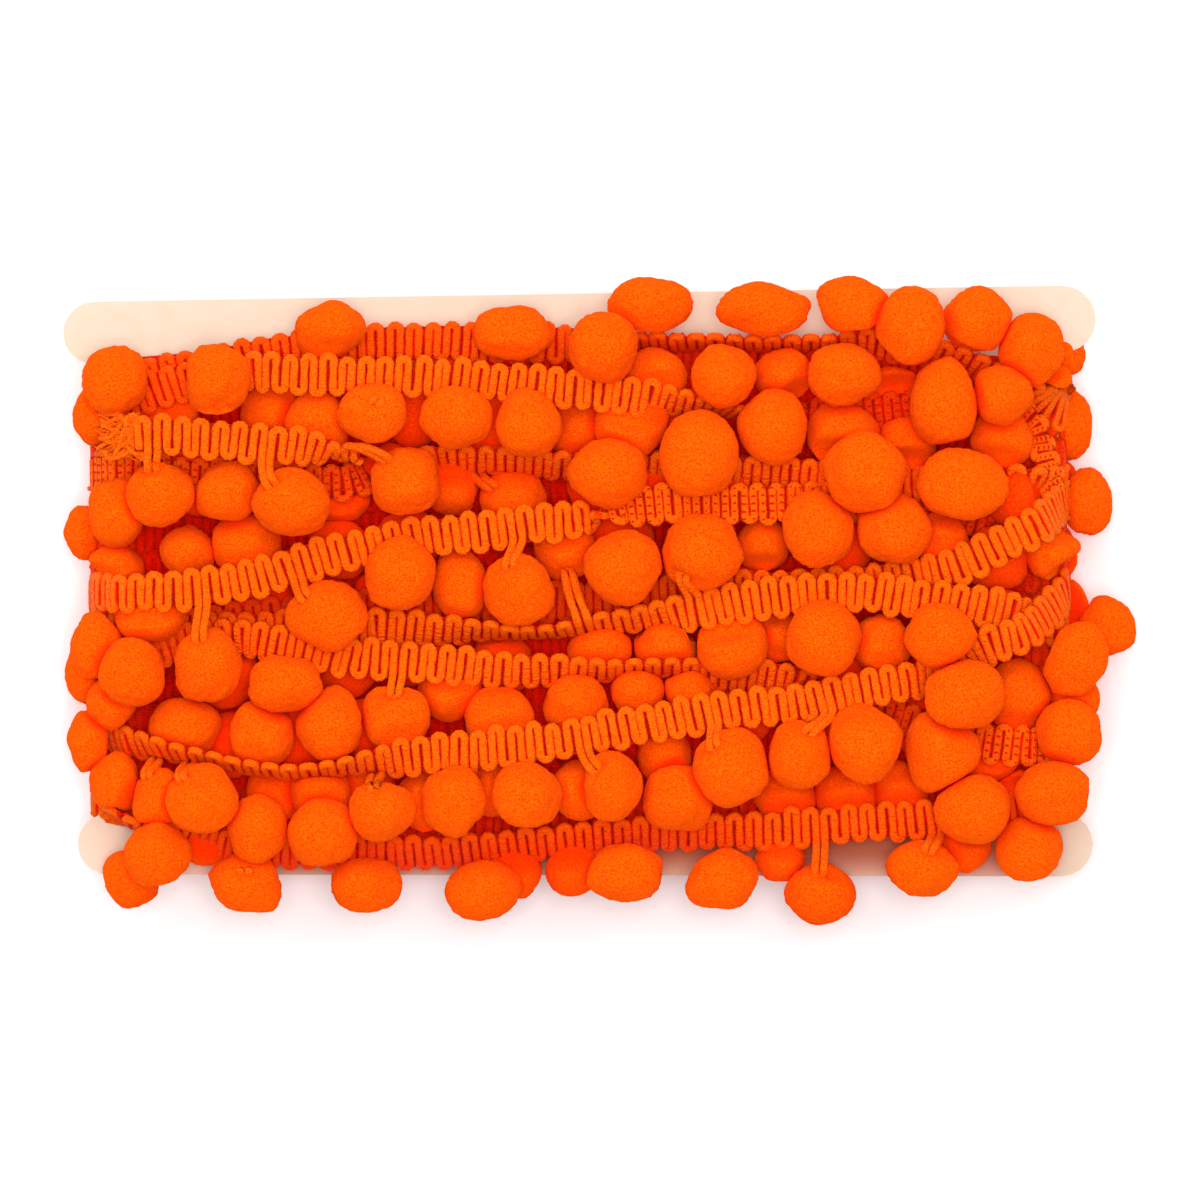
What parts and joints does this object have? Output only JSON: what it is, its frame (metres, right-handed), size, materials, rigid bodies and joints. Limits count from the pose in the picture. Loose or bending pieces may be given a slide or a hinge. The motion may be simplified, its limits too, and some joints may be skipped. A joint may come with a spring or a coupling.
{
  "type": "pompom fringe trim wound on a card",
  "caption": "Length of pompom fringe, a narrow looped braid with a felted ball on each short link, wound flat round a cardboard holder with rounded ears.",
  "frame": {"origin": "on the surface that the holder lies on, under the middle of the whole", "axes": "+X along the length of the card, +Y up its height, +Z out of the front of the winding"},
  "size_m": [0.215, 0.128, 0.0457],
  "materials": {
    "trim": "matte",
    "card": "matte"
  },
  "bodies": {
    "root": {"card": "card", "wound_trim": "trim", "loose_end": "trim"}
  },
  "joints": []
}
